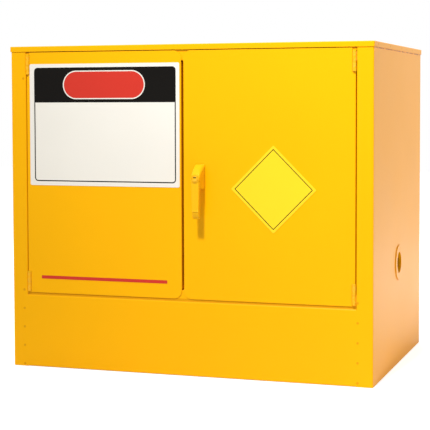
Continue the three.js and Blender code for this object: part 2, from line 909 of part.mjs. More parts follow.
function rodGuide(upward) {
  const x = handleX + upward * rodOffset;
  const end = upward > 0 ? panTop - guideInset : panBottom + guideInset;
  const bottom = Math.min(end, end - upward * guideHeight);
  const block = boxBetween(
    [x - guideWidth / 2, frontY + doorSkinSheet + seatGap, bottom],
    [x + guideWidth / 2, rodY + rodTipRadius + guideWall, bottom + guideHeight],
  );
  const bore = roundBar(rodTipRadius + runningGap, bottom - overrun, bottom + guideHeight + overrun, "z");
  return carved(block, movedTo(bore, x, rodY, 0));
}

function rightDoor() {
  const door = new THREE.Group();
  const bushHole = roundBar(bushRadius + seatGap, frontY - overrun, frontY + overrun, "y");
  const rodHoles = [rodHole(handleX + rodOffset, panTop), rodHole(handleX - rodOffset, panBottom)];
  door.add(
    piece("right_door_skin", doorSkin(1, [movedTo(bushHole, handleX, 0, handleZ)]), powderCoat),
    piece("right_door_liner", doorLiner(1, rodHoles), linerCoat),
    ...doorHinges("right", 1),
    handleSet(),
    piece("upper_latch_rod", latchRod(1), zincPlate),
    piece("lower_latch_rod", latchRod(-1), zincPlate),
    piece("upper_rod_guide", rodGuide(1), zincPlate),
    piece("lower_rod_guide", rodGuide(-1), zincPlate),
  );
  return door;
}

// The left door is held by a magnet behind each rail's lip and a strike plate on the door.

const catchLevels = [["upper", headBottom - stopLip, -1], ["lower", sillTop + stopLip, 1]];

function magnetCatch(lipZ, inward) {
  const near = lipZ + inward * seatGap;
  const farEnd = lipZ + inward * catchHeight;
  const behind = lipZ - inward * catchLap;
  const noseY = doorBackY + seatGap + strikeThickness + seatGap;
  const backOfLip = railStopBackY + seatGap;
  return alongX(new THREE.Shape([
    new THREE.Vector2(noseY, near),
    new THREE.Vector2(noseY, farEnd),
    new THREE.Vector2(backOfLip + catchDepth, farEnd),
    new THREE.Vector2(backOfLip + catchDepth, behind),
    new THREE.Vector2(backOfLip, behind),
    new THREE.Vector2(backOfLip, near),
  ]), -catchX - catchWidth / 2, -catchX + catchWidth / 2);
}

function strikePlate(lipZ, inward) {
  const ends = [lipZ + inward * strikeMargin, lipZ + inward * (catchHeight - seatGap)];
  return boxBetween(
    [-catchX - catchWidth / 2 + strikeMargin, doorBackY + seatGap, Math.min(...ends)],
    [-catchX + catchWidth / 2 - strikeMargin, doorBackY + seatGap + strikeThickness, Math.max(...ends)],
  );
}

function leftDoor() {
  const door = new THREE.Group();
  const strikes = catchLevels.map(([level, lipZ, inward]) => (
    piece(`${level}_strike_plate`, strikePlate(lipZ, inward), zincPlate)
  ));
  door.add(
    piece("left_door_skin", mirrored(doorSkin(-1, [])), powderCoat),
    piece("left_door_liner", mirrored(doorLiner(-1, [])), linerCoat),
    ...doorHinges("left", -1),
    ...strikes,
  );
  return door;
}

function catches() {
  const set = new THREE.Group();
  catchLevels.forEach(([level, lipZ, inward]) => {
    set.add(piece(`${level}_magnet_catch`, magnetCatch(lipZ, inward), blackPlastic));
  });
  return set;
}

const cabinet = new THREE.Group();
cabinet.add(outerShell(), innerShell(), shelving(), vents());
cabinet.add(frameHinges(), catches(), rightDoor(), leftDoor());

export default cabinet;
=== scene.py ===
# %% [markdown]
# # A double-skinned steel storage cabinet
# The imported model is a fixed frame: every node keeps its place, and this script
# gives it a finish or lays a finer piece over it. Everything below is in metres,
# in the frame's own axes, so a piece goes where the frame says and needs no fitting.

# %% Load the frame
import json
from math import cos, pi, radians, sin, sqrt

import bmesh
import bpy
from mathutils import Matrix, Vector


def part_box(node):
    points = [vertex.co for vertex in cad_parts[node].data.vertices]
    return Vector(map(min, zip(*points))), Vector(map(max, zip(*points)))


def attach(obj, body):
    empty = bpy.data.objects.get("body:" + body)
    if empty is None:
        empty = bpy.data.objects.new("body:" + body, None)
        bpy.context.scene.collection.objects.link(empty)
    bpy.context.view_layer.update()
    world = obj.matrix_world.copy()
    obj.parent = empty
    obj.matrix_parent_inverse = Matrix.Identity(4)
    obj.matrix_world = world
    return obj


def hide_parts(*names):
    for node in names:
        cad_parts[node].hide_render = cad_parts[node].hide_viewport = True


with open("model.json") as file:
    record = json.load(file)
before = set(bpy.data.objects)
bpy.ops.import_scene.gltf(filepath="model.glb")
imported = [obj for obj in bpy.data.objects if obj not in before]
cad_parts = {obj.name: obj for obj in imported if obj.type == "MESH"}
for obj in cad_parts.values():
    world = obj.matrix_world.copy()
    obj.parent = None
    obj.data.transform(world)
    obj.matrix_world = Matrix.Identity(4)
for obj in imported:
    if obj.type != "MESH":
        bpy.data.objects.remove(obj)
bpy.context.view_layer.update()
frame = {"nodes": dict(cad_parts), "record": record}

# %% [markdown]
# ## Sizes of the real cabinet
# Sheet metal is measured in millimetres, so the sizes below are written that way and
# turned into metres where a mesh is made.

mm = 0.001
front = -318 * mm
side = 458 * mm

# %% [markdown]
# ## The camera
# The photographer stood to the right of the doors, a little over three metres away and a
# little below the lid's height, and tipped the lens down by three degrees. The place, the
# lens and the small shift come from a fit to the outline of the cabinet, taking the picture
# as 430 pixels square. The shift stands for the way that the picture was cropped.

# %% Set up the camera
picture_width = 430
focal_pixels = 1367.4
principal = Vector((196.8, 174.1))
camera_place = (1.0815, -3.4086, 0.6657)
turn_degrees, tilt_degrees, roll_degrees = 18.784, 90 - 3.096, -0.195

camera_data = bpy.data.cameras.new("studio_camera")
camera_data.sensor_width = 36
camera_data.lens = focal_pixels / picture_width * camera_data.sensor_width
camera_data.shift_x = (picture_width / 2 - principal.x) / picture_width
camera_data.shift_y = (principal.y - picture_width / 2) / picture_width
camera = bpy.data.objects.new("studio_camera", camera_data)
turn = Matrix.Rotation(radians(turn_degrees), 4, "Z")
tilt = Matrix.Rotation(radians(tilt_degrees), 4, "X")
roll = Matrix.Rotation(radians(roll_degrees), 4, "Z")
camera.matrix_world = Matrix.Translation(camera_place) @ turn @ tilt @ roll
bpy.context.scene.collection.objects.link(camera)
bpy.context.scene.camera = camera
print("lens in mm:", round(camera_data.lens, 1))
print("shift:", round(camera_data.shift_x, 4), round(camera_data.shift_y, 4))

# %% [markdown]
# ## Small helpers for node trees
# Materials and Geometry Nodes are both trees of nodes. These helpers keep the cells
# short: one makes a group with named sockets, the others place a sum, a product, a blend
# of two colours or a noise, and hand back the socket that the next node reads.

# %% Helpers for node trees
def new_group(name, kind, inputs, outputs):
    tree = bpy.data.node_groups.new(name, kind)
    for title, socket_type, value in inputs:
        socket = tree.interface.new_socket(name=title, in_out="INPUT", socket_type=socket_type)
        if value is not None:
            socket.default_value = value
    for title, socket_type in outputs:
        tree.interface.new_socket(name=title, in_out="OUTPUT", socket_type=socket_type)
    return tree, tree.nodes.new("NodeGroupInput").outputs, tree.nodes.new("NodeGroupOutput").inputs


def feed(tree, socket, value):
    if isinstance(value, bpy.types.NodeSocket):
        tree.links.new(value, socket)
    else:
        socket.default_value = value


def maths(tree, operation, first, second=0.0, third=0.0):
    node = tree.nodes.new("ShaderNodeMath")
    node.operation = operation
    for socket, value in zip(node.inputs, (first, second, third)):
        feed(tree, socket, value)
    return node.outputs[0]


def product(tree, first, *others):
    for other in others:
        first = maths(tree, "MULTIPLY", first, other)
    return first


# %% Helpers for colours and patterns
def blended(tree, factor, first, second, how="MIX"):
    node = tree.nodes.new("ShaderNodeMix")
    node.data_type = "RGBA"
    node.blend_type = how
    feed(tree, node.inputs[0], factor)
    feed(tree, node.inputs[6], first)
    feed(tree, node.inputs[7], second)
    return node.outputs[2]


def grey_of(tree, value):
    node = tree.nodes.new("ShaderNodeCombineColor")
    for channel in node.inputs:
        tree.links.new(value, channel)
    return node.outputs[0]


def ramped(tree, value, low, high, to_low=0.0, to_high=1.0):
    node = tree.nodes.new("ShaderNodeMapRange")
    for socket, number in zip(node.inputs, (value, low, high, to_low, to_high)):
        feed(tree, socket, number)
    return node.outputs[0]


def object_place(tree):
    return tree.nodes.new("ShaderNodeTexCoord").outputs["Object"]


def cloudy(tree, scale, detail=2.0, stretch=None):
    place = object_place(tree)
    if stretch is not None:
        mapping = tree.nodes.new("ShaderNodeMapping")
        mapping.inputs["Scale"].default_value = stretch
        tree.links.new(place, mapping.inputs["Vector"])
        place = mapping.outputs["Vector"]
    node = tree.nodes.new("ShaderNodeTexNoise")
    tree.links.new(place, node.inputs["Vector"])
    feed(tree, node.inputs["Scale"], scale)
    node.inputs["Detail"].default_value = detail
    return node.outputs[0]


# %% [markdown]
# ## What powder coat looks like
# Powder coat is dry paint that is baked until it flows. It never flows quite flat, so a
# fine ripple is left, called orange peel, and wide sheets bow very slightly between
# their folds. Both are far too small to model, so they are a height that a Bump node
# turns into shading. Three groups hold what every painted piece shares: the ripple, a
# faint drift in tone and gloss, and the dust that settles on faces that look up. The
# drift in gloss is wide and weak, because fine spots of gloss would show as specks where
# a wide sheet is seen almost edge-on.

# %% Group: orange peel and the bow of the sheet
ripple_scale, bow_scale, bow_height = 420.0, 5.0, 12.0
peel_group, ins, outs = new_group(
    "orange_peel", "ShaderNodeTree",
    [("Ripple", "NodeSocketFloat", 1.0), ("Bow", "NodeSocketFloat", 1.0)],
    [("Height", "NodeSocketFloat")],
)
ripple = product(peel_group, cloudy(peel_group, ripple_scale, 1.0), ins["Ripple"])
bow = product(peel_group, cloudy(peel_group, bow_scale, 0.0), ins["Bow"])
peel_group.links.new(maths(peel_group, "MULTIPLY_ADD", bow, bow_height, ripple), outs["Height"])

# %% Group: drift in tone and gloss
tone_scale, gloss_scale, gloss_change = 4.0, 6.0, 0.01
drift_group, ins, outs = new_group(
    "coat_drift", "ShaderNodeTree",
    [
        ("Color", "NodeSocketColor", (0.9, 0.5, 0.01, 1)),
        ("Amount", "NodeSocketFloat", 0.04),
        ("Gloss", "NodeSocketFloat", 0.3),
    ],
    [("Color", "NodeSocketColor"), ("Roughness", "NodeSocketFloat")],
)
cloud = ramped(drift_group, cloudy(drift_group, tone_scale, 3.0), 0.35, 0.65)
shade = maths(drift_group, "SUBTRACT", 1.0, product(drift_group, cloud, ins["Amount"]))
toned = blended(drift_group, 1.0, ins["Color"], grey_of(drift_group, shade), "MULTIPLY")
drift_group.links.new(toned, outs["Color"])
haze = ramped(
    drift_group, cloudy(drift_group, gloss_scale, 1.0), 0.3, 0.7, -gloss_change, gloss_change)
drift_group.links.new(maths(drift_group, "ADD", ins["Gloss"], haze), outs["Roughness"])

# %% Group: dust on faces that look up
dust_scale = 9.0
dust_group, ins, outs = new_group(
    "settled_dust", "ShaderNodeTree",
    [("Amount", "NodeSocketFloat", 0.15)],
    [("Mask", "NodeSocketFloat")],
)
normal = dust_group.nodes.new("ShaderNodeNewGeometry").outputs["Normal"]
facing = dust_group.nodes.new("ShaderNodeSeparateXYZ")
dust_group.links.new(normal, facing.inputs[0])
upward = ramped(dust_group, facing.outputs["Z"], 0.6, 0.98)
patchy = ramped(dust_group, cloudy(dust_group, dust_scale, 6.0), 0.35, 0.75)
dust_group.links.new(product(dust_group, upward, patchy, ins["Amount"]), outs["Mask"])

# %% [markdown]
# ## Wear and painted shade
# Hands rub the paint thin on edges. Wear follows the mesh: Pointiness is high where an edge
# stands out. Painted shade darkens the narrow gaps round the doors and under the lid, where
# shade falls. Its masks are bands in the object's own coordinates, and they stay where they
# are from any side. The same group puts out a mask for the two side panels, whose paint is
# tinted a little redder and darker than that of the doors, as painted shade.

# %% Group: paint rubbed thin by hands
rub_group, ins, outs = new_group(
    "rubbed_paint", "ShaderNodeTree",
    [("Amount", "NodeSocketFloat", 0.3), ("Scale", "NodeSocketFloat", 180.0)],
    [("Mask", "NodeSocketFloat")],
)
edge = rub_group.nodes.new("ShaderNodeNewGeometry").outputs["Pointiness"]
worn = ramped(rub_group, edge, 0.52, 0.6)
speckle = ramped(rub_group, cloudy(rub_group, ins["Scale"], 4.0), 0.42, 0.6)
rub_group.links.new(product(rub_group, worn, speckle, ins["Amount"]), outs["Mask"])

# %% Group: painted shade in the seams
# Painted shade: dark bands in the gaps under and over the doors and under the lid's side flange,
# where shade falls.
seam_reach, clear_middle = 418.3 * mm, 27 * mm
under_doors_z, over_doors_z = (180.3 * mm, 187.8 * mm), (784.8 * mm, 787.2 * mm)
lid_seam_z, seam_y = (784.4 * mm, 786.98 * mm), (front + 0.15 * mm, front + 8 * mm)
under_doors_share, patch_scale = 0.42, 55.0
painted_shade_group, ins, outs = new_group(
    "painted_seam_shade", "ShaderNodeTree",
    [("Amount", "NodeSocketFloat", 0.8)],
    [("Mask", "NodeSocketFloat"), ("Side", "NodeSocketFloat")],
)
spot = painted_shade_group.nodes.new("ShaderNodeSeparateXYZ")
painted_shade_group.links.new(object_place(painted_shade_group), spot.inputs[0])
x, y, z = spot.outputs


def in_band(value, low, high):
    above = maths(painted_shade_group, "GREATER_THAN", value, low)
    return product(painted_shade_group, above, maths(painted_shade_group, "LESS_THAN", value, high))


across = maths(painted_shade_group, "ABSOLUTE", x)
under_doors = product(painted_shade_group, in_band(z, *under_doors_z), under_doors_share)
over_doors = product(
    painted_shade_group, in_band(z, *over_doors_z), in_band(across, clear_middle, seam_reach))
round_doors = maths(painted_shade_group, "MAXIMUM", under_doors, over_doors)
inside_stiles = maths(painted_shade_group, "LESS_THAN", across, seam_reach)
in_front_seam = product(painted_shade_group, round_doors, inside_stiles, in_band(y, *seam_y))
on_side = ramped(painted_shade_group, across, side - 0.6 * mm, side - 0.2 * mm)
patches = ramped(painted_shade_group, cloudy(painted_shade_group, patch_scale, 3.0), 0.4, 0.5)
in_lid_seam = product(painted_shade_group, on_side, patches, in_band(z, *lid_seam_z))
shaded_seams = maths(painted_shade_group, "MAXIMUM", in_front_seam, in_lid_seam)
painted_shade_group.links.new(product(painted_shade_group, shaded_seams, ins["Amount"]), outs["Mask"])
painted_shade_group.links.new(on_side, outs["Side"])

# %% [markdown]
# ## Painted finishes
# One function builds every painted material from the groups: the colour drifts, dust
# pales it, and the same masks change the gloss. Wear and painted shade are added only where
# a material asks for them. What is the same all over the surface, such as the strength of
# the paint's sheen, is set on the shader's own socket.

# %% Painted materials
dust_tone, thin_tone = (0.62, 0.55, 0.42, 1), (0.95, 0.72, 0.25, 1)
# Painted shade: the dark colour of the seams and the redder tint of the side panels.
painted_shade_colour, side_shade_tint = (0.42, 0.12, 0.001, 1), (1, 0.86, 1, 1)
peel_depth = 0.03 * mm


def group_node(material, group, **values):
    node = material.node_tree.nodes.new("ShaderNodeGroup")
    node.node_tree = group
    for title, value in values.items():
        feed(material.node_tree, node.inputs[title], value)
    return node.outputs


def bare_material(name):
    material = bpy.data.materials.new(name)
    material.use_nodes = True
    return material, material.node_tree, material.node_tree.nodes["Principled BSDF"].inputs


def bumped(tree, shader, height, depth):
    bump = tree.nodes.new("ShaderNodeBump")
    bump.inputs["Strength"].default_value = 1.0
    bump.inputs["Distance"].default_value = depth
    tree.links.new(height, bump.inputs["Height"])
    tree.links.new(bump.outputs["Normal"], shader["Normal"])


def painted(
        name, colour, gloss, amount=0.03, ripple=1.0, bow=0.0, dust=0.12, rub=0.0,
        sheen=0.1, shade_amount=0.0):
    material, tree, shader = bare_material(name)
    drift = group_node(material, drift_group, Color=(*colour, 1), Amount=amount, Gloss=gloss)
    dusty = group_node(material, dust_group, Amount=dust)["Mask"]
    tone = blended(tree, dusty, drift["Color"], dust_tone)
    rough = maths(tree, "MULTIPLY_ADD", dusty, 0.5, drift["Roughness"])
    if rub:
        thin = group_node(material, rub_group, Amount=rub)["Mask"]
        tone = blended(tree, thin, tone, thin_tone)
    if shade_amount:
        seams = group_node(material, painted_shade_group, Amount=shade_amount)
        # Painted shade: the side panels are tinted redder and darker than the doors.
        tone = blended(tree, seams["Side"], tone, blended(tree, 1.0, tone, side_shade_tint, "MULTIPLY"))
        # Painted shade in the seams.
        tone = blended(tree, seams["Mask"], tone, painted_shade_colour)
    tree.links.new(tone, shader["Base Color"])
    tree.links.new(rough, shader["Roughness"])
    shader["Specular IOR Level"].default_value = sheen
    peel = group_node(material, peel_group, Ripple=ripple, Bow=bow)["Height"]
    bumped(tree, shader, peel, peel_depth)
    return material


# %% Coats of the cabinet
powder_coat = painted(
    "powder_coat", (0.98, 0.475, 0.001), 0.32, amount=0.02, ripple=0.22, bow=0.25, dust=0.08,
    shade_amount=0.9)
liner_coat = painted("liner_coat", (0.90, 0.42, 0.008), 0.42, amount=0.06, dust=0.2)
handle_coat = painted(
    "handle_coat", (0.96, 0.50, 0.006), 0.3, ripple=0.5, rub=0.3, dust=0.0, sheen=0.14)
hinge_coat = painted("hinge_coat", (0.96, 0.46, 0.004), 0.4, ripple=0.8, rub=0.15, sheen=0.06)
# The bung is painted dark ochre as painted shade, so that it reads as the shaded recess of the
# vent.
bung_shade_coat = painted("bung_shade_coat", (0.36, 0.14, 0.004), 0.6, ripple=0.8, amount=0.15, sheen=0.0)
# The weld marks are painted darker than the coat round them, as painted shade of their shallow
# dimples.
weld_shade_coat = painted("weld_shade_coat", (0.80, 0.34, 0.002), 0.4, ripple=1.5, dust=0.0)
print("painted finishes:", [m.name for m in bpy.data.materials if m.name.endswith("_coat")])

# %% [markdown]
# ## Bare metal, plastic and gauze
# Zinc plate has a dull spangle and fine marks from rolling. Both come from one group,
# which the lock's steel and the brass gauze use too, with less spangle. The hinge pins
# were painted over together with their barrels, so they get a paint, and so does the
# matt moulded plastic, which differs from a paint only in its colour and its grain.

# %% Group: rolling marks and spangle
spangle_scale, mark_scale, mark_stretch = 110.0, 60.0, (1, 14, 14)
roll_group, ins, outs = new_group(
    "rolled_metal", "ShaderNodeTree",
    [
        ("Color", "NodeSocketColor", (0.6, 0.61, 0.62, 1)),
        ("Spangle", "NodeSocketFloat", 0.1),
        ("Gloss", "NodeSocketFloat", 0.35),
    ],
    [("Color", "NodeSocketColor"), ("Roughness", "NodeSocketFloat")],
)
cells = roll_group.nodes.new("ShaderNodeTexVoronoi")
cells.inputs["Scale"].default_value = spangle_scale
roll_group.links.new(object_place(roll_group), cells.inputs["Vector"])
channels = roll_group.nodes.new("ShaderNodeSeparateColor")
roll_group.links.new(cells.outputs["Color"], channels.inputs[0])
spangle = product(roll_group, channels.outputs[0], ins["Spangle"])
marks = ramped(
    roll_group, cloudy(roll_group, mark_scale, 5.0, mark_stretch), 0.3, 0.7, 0.0, 0.12)
darker = maths(roll_group, "SUBTRACT", maths(roll_group, "SUBTRACT", 1.0, spangle), marks)
toned = blended(roll_group, 1.0, ins["Color"], grey_of(roll_group, darker), "MULTIPLY")
roll_group.links.new(toned, outs["Color"])
duller = maths(roll_group, "MULTIPLY_ADD", marks, 0.8, spangle)
roll_group.links.new(maths(roll_group, "ADD", ins["Gloss"], duller), outs["Roughness"])


# %% Metal and plastic materials
def metal(name, colour, gloss, spangle):
    material, tree, shader = bare_material(name)
    rolled = group_node(material, roll_group, Color=(*colour, 1), Spangle=spangle, Gloss=gloss)
    tree.links.new(rolled["Color"], shader["Base Color"])
    tree.links.new(rolled["Roughness"], shader["Roughness"])
    shader["Metallic"].default_value = 1.0
    return material


zinc_plate = metal("zinc_plate", (0.66, 0.67, 0.68), 0.34, spangle=0.16)
lock_steel = metal("lock_steel", (0.80, 0.80, 0.80), 0.16, spangle=0.02)
brass_gauze = metal("brass_gauze", (0.62, 0.44, 0.16), 0.38, spangle=0.1)
hinge_steel = painted("hinge_steel", (0.97, 0.58, 0.01), 0.35, ripple=0.6, sheen=0.08)
black_plastic = painted(
    "black_plastic", (0.018, 0.016, 0.014), 0.5, amount=0.2, ripple=3.0, dust=0.05)
print("materials so far:", len(bpy.data.materials))

# %% [markdown]
# ## Finishing the frame's own nodes
# Most nodes inside the cabinet already have the right shape. They keep their mesh, and
# only their material changes. The record says which finish each node has, so one loop
# reads it there and no node is forgotten.

# %% Give each node its finish
finishes = {
    "powder_coat": powder_coat, "liner_coat": liner_coat, "handle_coat": handle_coat,
    "hinge_coat": hinge_coat, "hinge_steel": hinge_steel, "lock_steel": lock_steel,
    "zinc_plate": zinc_plate, "black_plastic": black_plastic, "brass_gauze": brass_gauze,
}
slot_of = {part["node"]: part["material_slot"] for part in frame["record"]["subparts"]}
for name, node in frame["nodes"].items():
    node.data.materials.clear()
    node.data.materials.append(finishes[slot_of[name]])
print("nodes with a finish:", len(slot_of))

# %% [markdown]
# ## Folded sheet with soft bends
# A press brake leaves a small radius along every fold. The frame has those bends in a
# few flat steps. A copy with its triangles joined can be shaded smoothly over the bend
# and flat over the sheet: edges sharper than 40 degrees are marked sharp, and the
# Weighted Normal modifier lets the wide faces decide how their corners are lit.

# %% Helpers that turn a mesh into a finished piece
bodies = frame["record"]["behaviour"]["bodies"]
body_of_node = {node: body for body, nodes in bodies.items() for node in nodes}


def new_object(name, bm):
    mesh = bpy.data.meshes.new(name)
    bm.to_mesh(mesh)
    bm.free()
    thing = bpy.data.objects.new(name, mesh)
    bpy.context.scene.collection.objects.link(thing)
    return thing


def settled(thing):
    graph = bpy.context.evaluated_depsgraph_get()
    mesh = bpy.data.meshes.new_from_object(thing.evaluated_get(graph), depsgraph=graph)
    thing.modifiers.clear()
    thing.data = mesh
    mesh.name = thing.name
    return thing


def softly_shaded(thing, angle=40):
    thing.data.polygons.foreach_set("use_smooth", [True] * len(thing.data.polygons))
    thing.data.set_sharp_from_angle(angle=radians(angle))
    weigh = thing.modifiers.new("weighted normals", "WEIGHTED_NORMAL")
    weigh.keep_sharp = True
    return settled(thing)


def on_body(thing, body, material=None, stands_for=()):
    if material is not None:
        thing.data.materials.clear()
        thing.data.materials.append(material)
    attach(thing, body)
    if stands_for:
        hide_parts(*stands_for)
    return thing


def joined_copy(node):
    bm = bmesh.new()
    bm.from_mesh(frame["nodes"][node].data)
    bmesh.ops.remove_doubles(bm, verts=bm.verts, dist=0.001 * mm)
    bmesh.ops.dissolve_limit(bm, angle_limit=radians(0.5), verts=bm.verts, edges=bm.edges)
    return bm


# %% Smooth copies of the folded panels and round parts
smooth_nodes = [
    "right_side_panel", "left_side_panel", "header_rail", "sill_panel", "handle_bush",
    "latch_spindle", "upper_latch_rod", "lower_latch_rod", "shelf", "right_door_liner",
    "left_door_liner", "back_panel", "sump_tray",
]
smooth_nodes += [
    f"{s}_{level}_{part}" for s in ("left", "right") for level in ("upper", "lower")
    for part in ("frame_knuckle", "door_knuckle", "hinge_pin")
]
smooth_nodes += [f"{s}_{end}_upright" for s in ("left", "right") for end in ("front", "rear")]
for node in smooth_nodes:
    copy = softly_shaded(new_object(node + "_dressed", joined_copy(node)))
    finish = slot_of[node]
    on_body(copy, body_of_node[node], finishes[finish], [node])
print("smooth copies:", len(smooth_nodes))

# %% [markdown]
# ## The seam between sill and stiles
# The sill is welded between the two stiles, and the weld is ground flush before the
# coat goes on. The frame leaves a groove there, because each stile folds back with a
# radius beside the sill's straight end. A narrow filler closes it as far as the place
# where the fold starts. Its face is very slightly hollow, as a ground weld's is.

# %% Ground weld seams
tiny = 0.002 * mm


def lofted(rings):
    bm = bmesh.new()
    levels = [[bm.verts.new(point) for point in ring] for ring in rings]
    for ring, following in zip(levels, levels[1:]):
        for index in range(len(ring)):
            after = (index + 1) % len(ring)
            bm.faces.new((ring[index], ring[after], following[after], following[index]))
    bm.faces.new(levels[0])
    bm.faces.new(reversed(levels[-1]))
    bmesh.ops.remove_doubles(bm, verts=bm.verts, dist=tiny)
    bmesh.ops.dissolve_degenerate(bm, dist=tiny, edges=bm.edges)
    bmesh.ops.recalc_face_normals(bm, faces=bm.faces)
    return bm


sill_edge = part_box("sill_panel")[1].x
seam_foot, seam_top = 0.2 * mm, 180.5 * mm
fold_start, hollow, seam_depth = 421.5 * mm, 0.05 * mm, 1.4 * mm
for name, sign in (("right", 1), ("left", -1)):
    inner, outer = sill_edge * sign, fold_start * sign
    section = [
        (inner, front), ((inner + outer) / 2, front + hollow), (outer, front),
        (outer, front + seam_depth), (inner, front + seam_depth)]
    rings = [[(x, y, height) for x, y in section] for height in (seam_foot, seam_top)]
    seam = softly_shaded(new_object(f"{name}_weld_seam", lofted(rings)))
    on_body(seam, "carcass", powder_coat)
print("width of the seam filler in mm:", round(abs(outer - inner) / mm, 2))

# %% [markdown]
# ## The lid: a shallow tray, upside down
# The lid is one sheet with its four edges folded down. It is built as a loft: the same
# rounded rectangle is drawn again and again, a little smaller round the fold, then the
# rings are joined. The fold gets its true radius that way, inside as well as outside.

# %% Loft the lid from rounded rectangles
def corner_outline(low, high, radii, inset=0.0, steps=6):
    corners = [
        (low[0], low[1], 180), (high[0], low[1], 270), (high[0], high[1], 0), (low[0], high[1], 90)]
    points = []
    for (across, up, start), radius in zip(corners, radii):
        radius = max(radius - inset, 0.05 * mm)
        reach = inset + radius
        middle = (
            across + (reach if across == low[0] else -reach),
            up + (reach if up == low[1] else -reach),
        )
        for step in range(steps + 1):
            angle = radians(start + 90 * step / steps)
            points.append((middle[0] + radius * cos(angle), middle[1] + radius * sin(angle)))
    return points


def at_height(points, height):
    return [(across, along, height) for across, along in points]


low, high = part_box("top_cover")
lid_sheet, lid_bend, lid_corner = 1.5 * mm, 2.0 * mm, [2.4 * mm] * 4
flat_low, flat_high = (low.x, low.y), (high.x, high.y)
inside_lid = corner_outline(flat_low, flat_high, lid_corner, lid_sheet)
lid_rings = [
    at_height(inside_lid, high.z - lid_sheet),
    at_height(inside_lid, low.z),
    at_height(corner_outline(flat_low, flat_high, lid_corner), low.z),
]
for step in range(7):
    angle = radians(90 - 15 * step)
    ring = corner_outline(flat_low, flat_high, lid_corner, lid_bend * (1 - sin(angle)))
    lid_rings.append(at_height(ring, high.z - lid_bend * (1 - cos(angle))))
lid = softly_shaded(new_object("lid", lofted(lid_rings)))
on_body(lid, "carcass", powder_coat, ["top_cover"])
print("lid faces:", len(lid.data.polygons), "edge in mm:", round((high.z - low.z) / mm, 1))

# %% [markdown]
# ## The door faces
# A door laps over the sill and the header. Its face is one sheet whose two upright
# edges are folded back, but only between the laps, and whose two inner corners are
# rounded off. The cross-section is drawn at each height that matters, with the folds
# drawn shut in the laps, and the sections are joined from the bottom to the top.

# %% Cross-sections of a door
door_sheet, door_bend, door_corner = 1.5 * mm, 2.0 * mm, 20 * mm
fold_low, fold_high, fold_back = 210 * mm, 758 * mm, -279.3 * mm


def door_edge(edge, inward, folded):
    if not folded:
        return [(edge, front)] * 7 + [(edge, front + door_sheet)] * 4
    points = []
    for step in range(7):
        angle = radians(15 * step)
        pull, rise = door_bend * (1 - sin(angle)), door_bend * (1 - cos(angle))
        points.append((edge + inward * pull, front + rise))
    inside = edge + inward * door_sheet
    points += [(edge, fold_back), (inside, fold_back), (inside, front + door_bend)]
    return points + [(edge + inward * door_bend, front + door_sheet)]


def door_section(inner, outer, height, folded):
    sign = 1 if outer > inner else -1
    points = door_edge(outer, -sign, folded) + door_edge(inner, sign, folded)[::-1]
    return [(x, y, height) for x, y in points]


def door_rings(inner, outer, bottom, top):
    sign = 1 if outer > inner else -1
    steps = [radians(7.5 * step) for step in range(13)]
    rounding = [(door_corner * (1 - sin(angle)), door_corner * (1 - cos(angle))) for angle in steps]
    rings = [
        door_section(inner + sign * pull, outer, bottom + rise, False) for pull, rise in rounding]
    rings += [door_section(inner, outer, fold_low, folded) for folded in (False, True)]
    rings += [door_section(inner, outer, fold_high, folded) for folded in (True, False)]
    rings += [
        door_section(inner + sign * pull, outer, top - rise, False)
        for pull, rise in rounding[::-1]]
    return rings


# %% [markdown]
# The hinges need room at the outer corners, and the handle's spindle goes through the
# right door. Those places are cut with a Boolean modifier, one solid at a time, and the
# result is kept as a plain mesh. The gap over the sill is seen as a dark line, and the
# real one is a little taller than the frame's. So each face ends slightly above the
# frame's lower edge, by the door lift.

# %% Helpers that make and cut solids
def box_mesh(low, high):
    bm = bmesh.new()
    bmesh.ops.create_cube(bm, size=1.0)
    middle = (Vector(low) + Vector(high)) / 2
    size = Vector(high) - Vector(low)
    bm.transform(Matrix.Translation(middle) @ Matrix.Diagonal((*size, 1)))
    return bm


def rod_mesh(radius, start, end, sides=32):
    start, end = Vector(start), Vector(end)
    bm = bmesh.new()
    turn_to = (end - start).to_track_quat("Z", "Y").to_matrix().to_4x4()
    bmesh.ops.create_cone(
        bm, cap_ends=True, segments=sides, radius1=radius, radius2=radius,
        depth=(end - start).length, matrix=Matrix.Translation((start + end) / 2) @ turn_to)
    return bm


def cut(thing, cutters):
    for bm in cutters:
        tool = new_object("cutter", bm)
        boolean = thing.modifiers.new("cut", "BOOLEAN")
        boolean.operation = "DIFFERENCE"
        boolean.solver = "EXACT"
        boolean.object = tool
        settled(thing)
        bpy.data.objects.remove(tool)
    return thing


# %% Cut and finish the two door faces
door_lift = 4.5 * mm
handle_x, handle_z = 40.8 * mm, 480 * mm
notch_sides, notch_z = (408 * mm, 421 * mm), (240.05 * mm, 730.25 * mm)
spindle_hole, hole_reach, spare = 7.8 * mm, 10 * mm, 5 * mm
for name, sign in (("right", 1), ("left", -1)):
    low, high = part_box(f"{name}_door_skin")
    inner, outer = (low.x, high.x) if sign > 0 else (high.x, low.x)
    rings = door_rings(inner, outer, low.z + door_lift, high.z)
    face = new_object(f"{name}_door_face", lofted(rings))
    near, far = sorted(sign * notch_side for notch_side in notch_sides)
    cutters = [
        box_mesh((near, front - spare, bottom), (far, front + spare, top))
        for bottom, top in ((notch_z[1], high.z + spare), (low.z - spare, notch_z[0]))
    ]
    if sign > 0:
        ends = [(handle_x, front + reach, handle_z) for reach in (-hole_reach, hole_reach)]
        cutters.append(rod_mesh(spindle_hole, *ends))
    softly_shaded(cut(face, cutters))
    on_body(face, f"{name}_door", powder_coat, [f"{name}_door_skin"])
    print(name, "door:", len(face.data.polygons), "faces,", round((high.z - low.z) / mm), "mm high")

